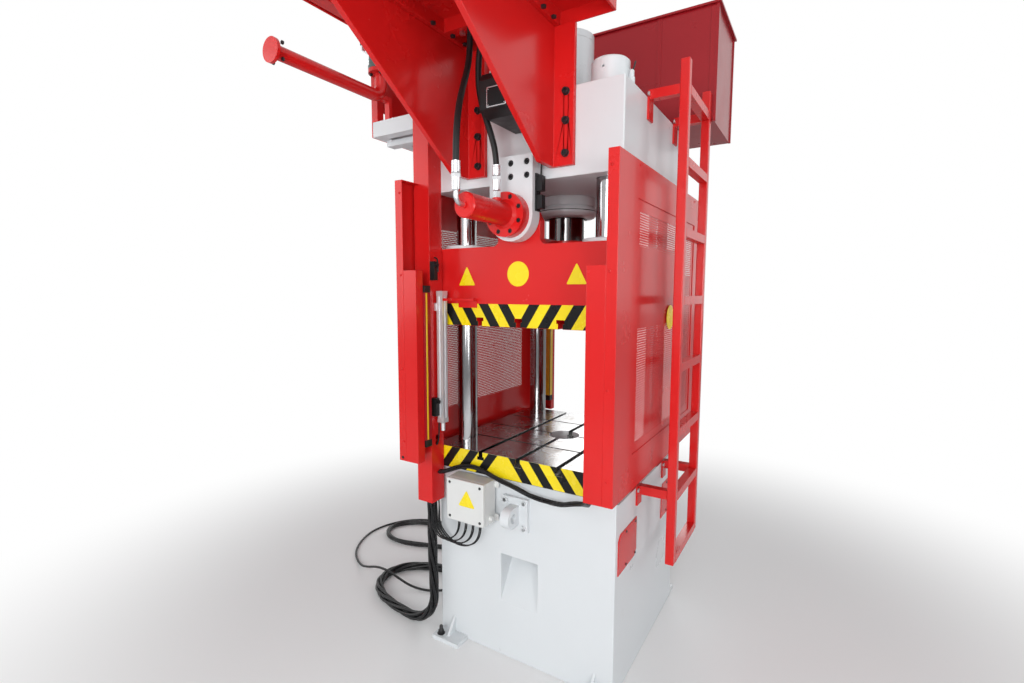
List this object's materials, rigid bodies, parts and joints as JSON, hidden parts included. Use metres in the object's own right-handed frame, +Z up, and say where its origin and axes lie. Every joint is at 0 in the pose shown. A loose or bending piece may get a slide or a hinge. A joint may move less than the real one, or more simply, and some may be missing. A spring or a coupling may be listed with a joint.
{
  "type": "hydraulic press",
  "caption": "Upright four-column hydraulic press with a single ram, T-slotted table and slide, side guards, locking cylinder, rear tank and side ladder.",
  "frame": {"origin": "on the floor under the ram's axis, at the centre of the base", "axes": "+Z up, -Y the press's front, +X its right side"},
  "size_m": [2.1852, 2.0185, 3.134],
  "materials": {
    "white_paint": "gloss",
    "red_paint": "gloss",
    "dark_red_paint": "gloss",
    "ground_steel": "ground",
    "chrome": "polished",
    "black_steel": "satin",
    "zinc_steel": "plated",
    "aluminium": "anodised",
    "black_plastic": "matte",
    "hose_rubber": "matte",
    "amber_plastic": "gloss",
    "grey_plastic": "satin",
    "yellow_paint": "satin",
    "dark_green_iron": "painted"
  },
  "bodies": {
    "frame": {"ball_valve": "dark_green_iron", "base_feet": "white_paint", "base_frame": "white_paint", "column_front_left": "chrome", "column_front_right": "chrome", "column_nuts": "white_paint", "column_rear_left": "chrome", "column_rear_right": "chrome", "crown": "white_paint", "crown_front_screws": "black_steel", "curtain_covers": "red_paint", "cylinder_barrel": "white_paint", "cylinder_gland": "white_paint", "cylinder_head": "white_paint", "duct_post": "red_paint", "front_cable_run": "black_plastic", "front_deck": "red_paint", "grease_pump": "black_plastic", "grease_reservoir": "amber_plastic", "guard_frame_left": "red_paint", "guard_frame_right": "red_paint", "guard_mesh_left": "red_paint", "guard_mesh_right": "red_paint", "gusset_left": "red_paint", "gusset_right": "red_paint", "hanging_bundle": "black_plastic", "hose_fittings": "zinc_steel", "junction_box": "grey_plastic", "junction_box_lid": "grey_plastic", "junction_cables": "black_plastic", "ladder_arms": "red_paint", "ladder_rungs": "red_paint", "ladder_stringer_front": "red_paint", "ladder_stringer_rear": "red_paint", "left_platform": "white_paint", "lifting_lug": "white_paint", "light_curtain_bars": "yellow_paint", "limit_switches": "black_plastic", "lock_bracket": "white_paint", "lock_cylinder": "red_paint", "lock_end_cap": "red_paint", "lock_hoses": "hose_rubber", "oil_tank": "dark_red_paint", "oil_tank_lid": "dark_red_paint", "return_pipe": "red_paint", "sensor_cable": "black_plastic", "side_covers": "red_paint", "slack_cable": "black_plastic", "table_plate": "ground_steel", "transducer": "aluminium", "valve_bay": "red_paint"},
    "slide": {"slide": "red_paint", "ram_rod": "chrome", "ram_piston": "ground_steel", "guide_bushes": "white_paint", "lock_socket": "ground_steel", "magnet_arm": "red_paint"},
    "lock_pin": {"lock_pin": "ground_steel"},
    "valve_lever": {"valve_lever": "zinc_steel", "lever_grip": "black_plastic"}
  },
  "joints": [
    {"name": "slide_stroke", "type": "slide", "parent": "frame", "child": "slide", "axis": [0, 0, -1], "range_m": [0, 0.5]},
    {"name": "lock_pin_travel", "type": "slide", "parent": "frame", "child": "lock_pin", "axis": [0, 1, 0], "range_m": [0, 0.07]},
    {"name": "valve_lever_turn", "type": "hinge", "parent": "frame", "child": "valve_lever", "pos_m": [-0.97, -0.352, 2.888], "axis": [1, 0, 0], "range_deg": [0, 90]}
  ]
}
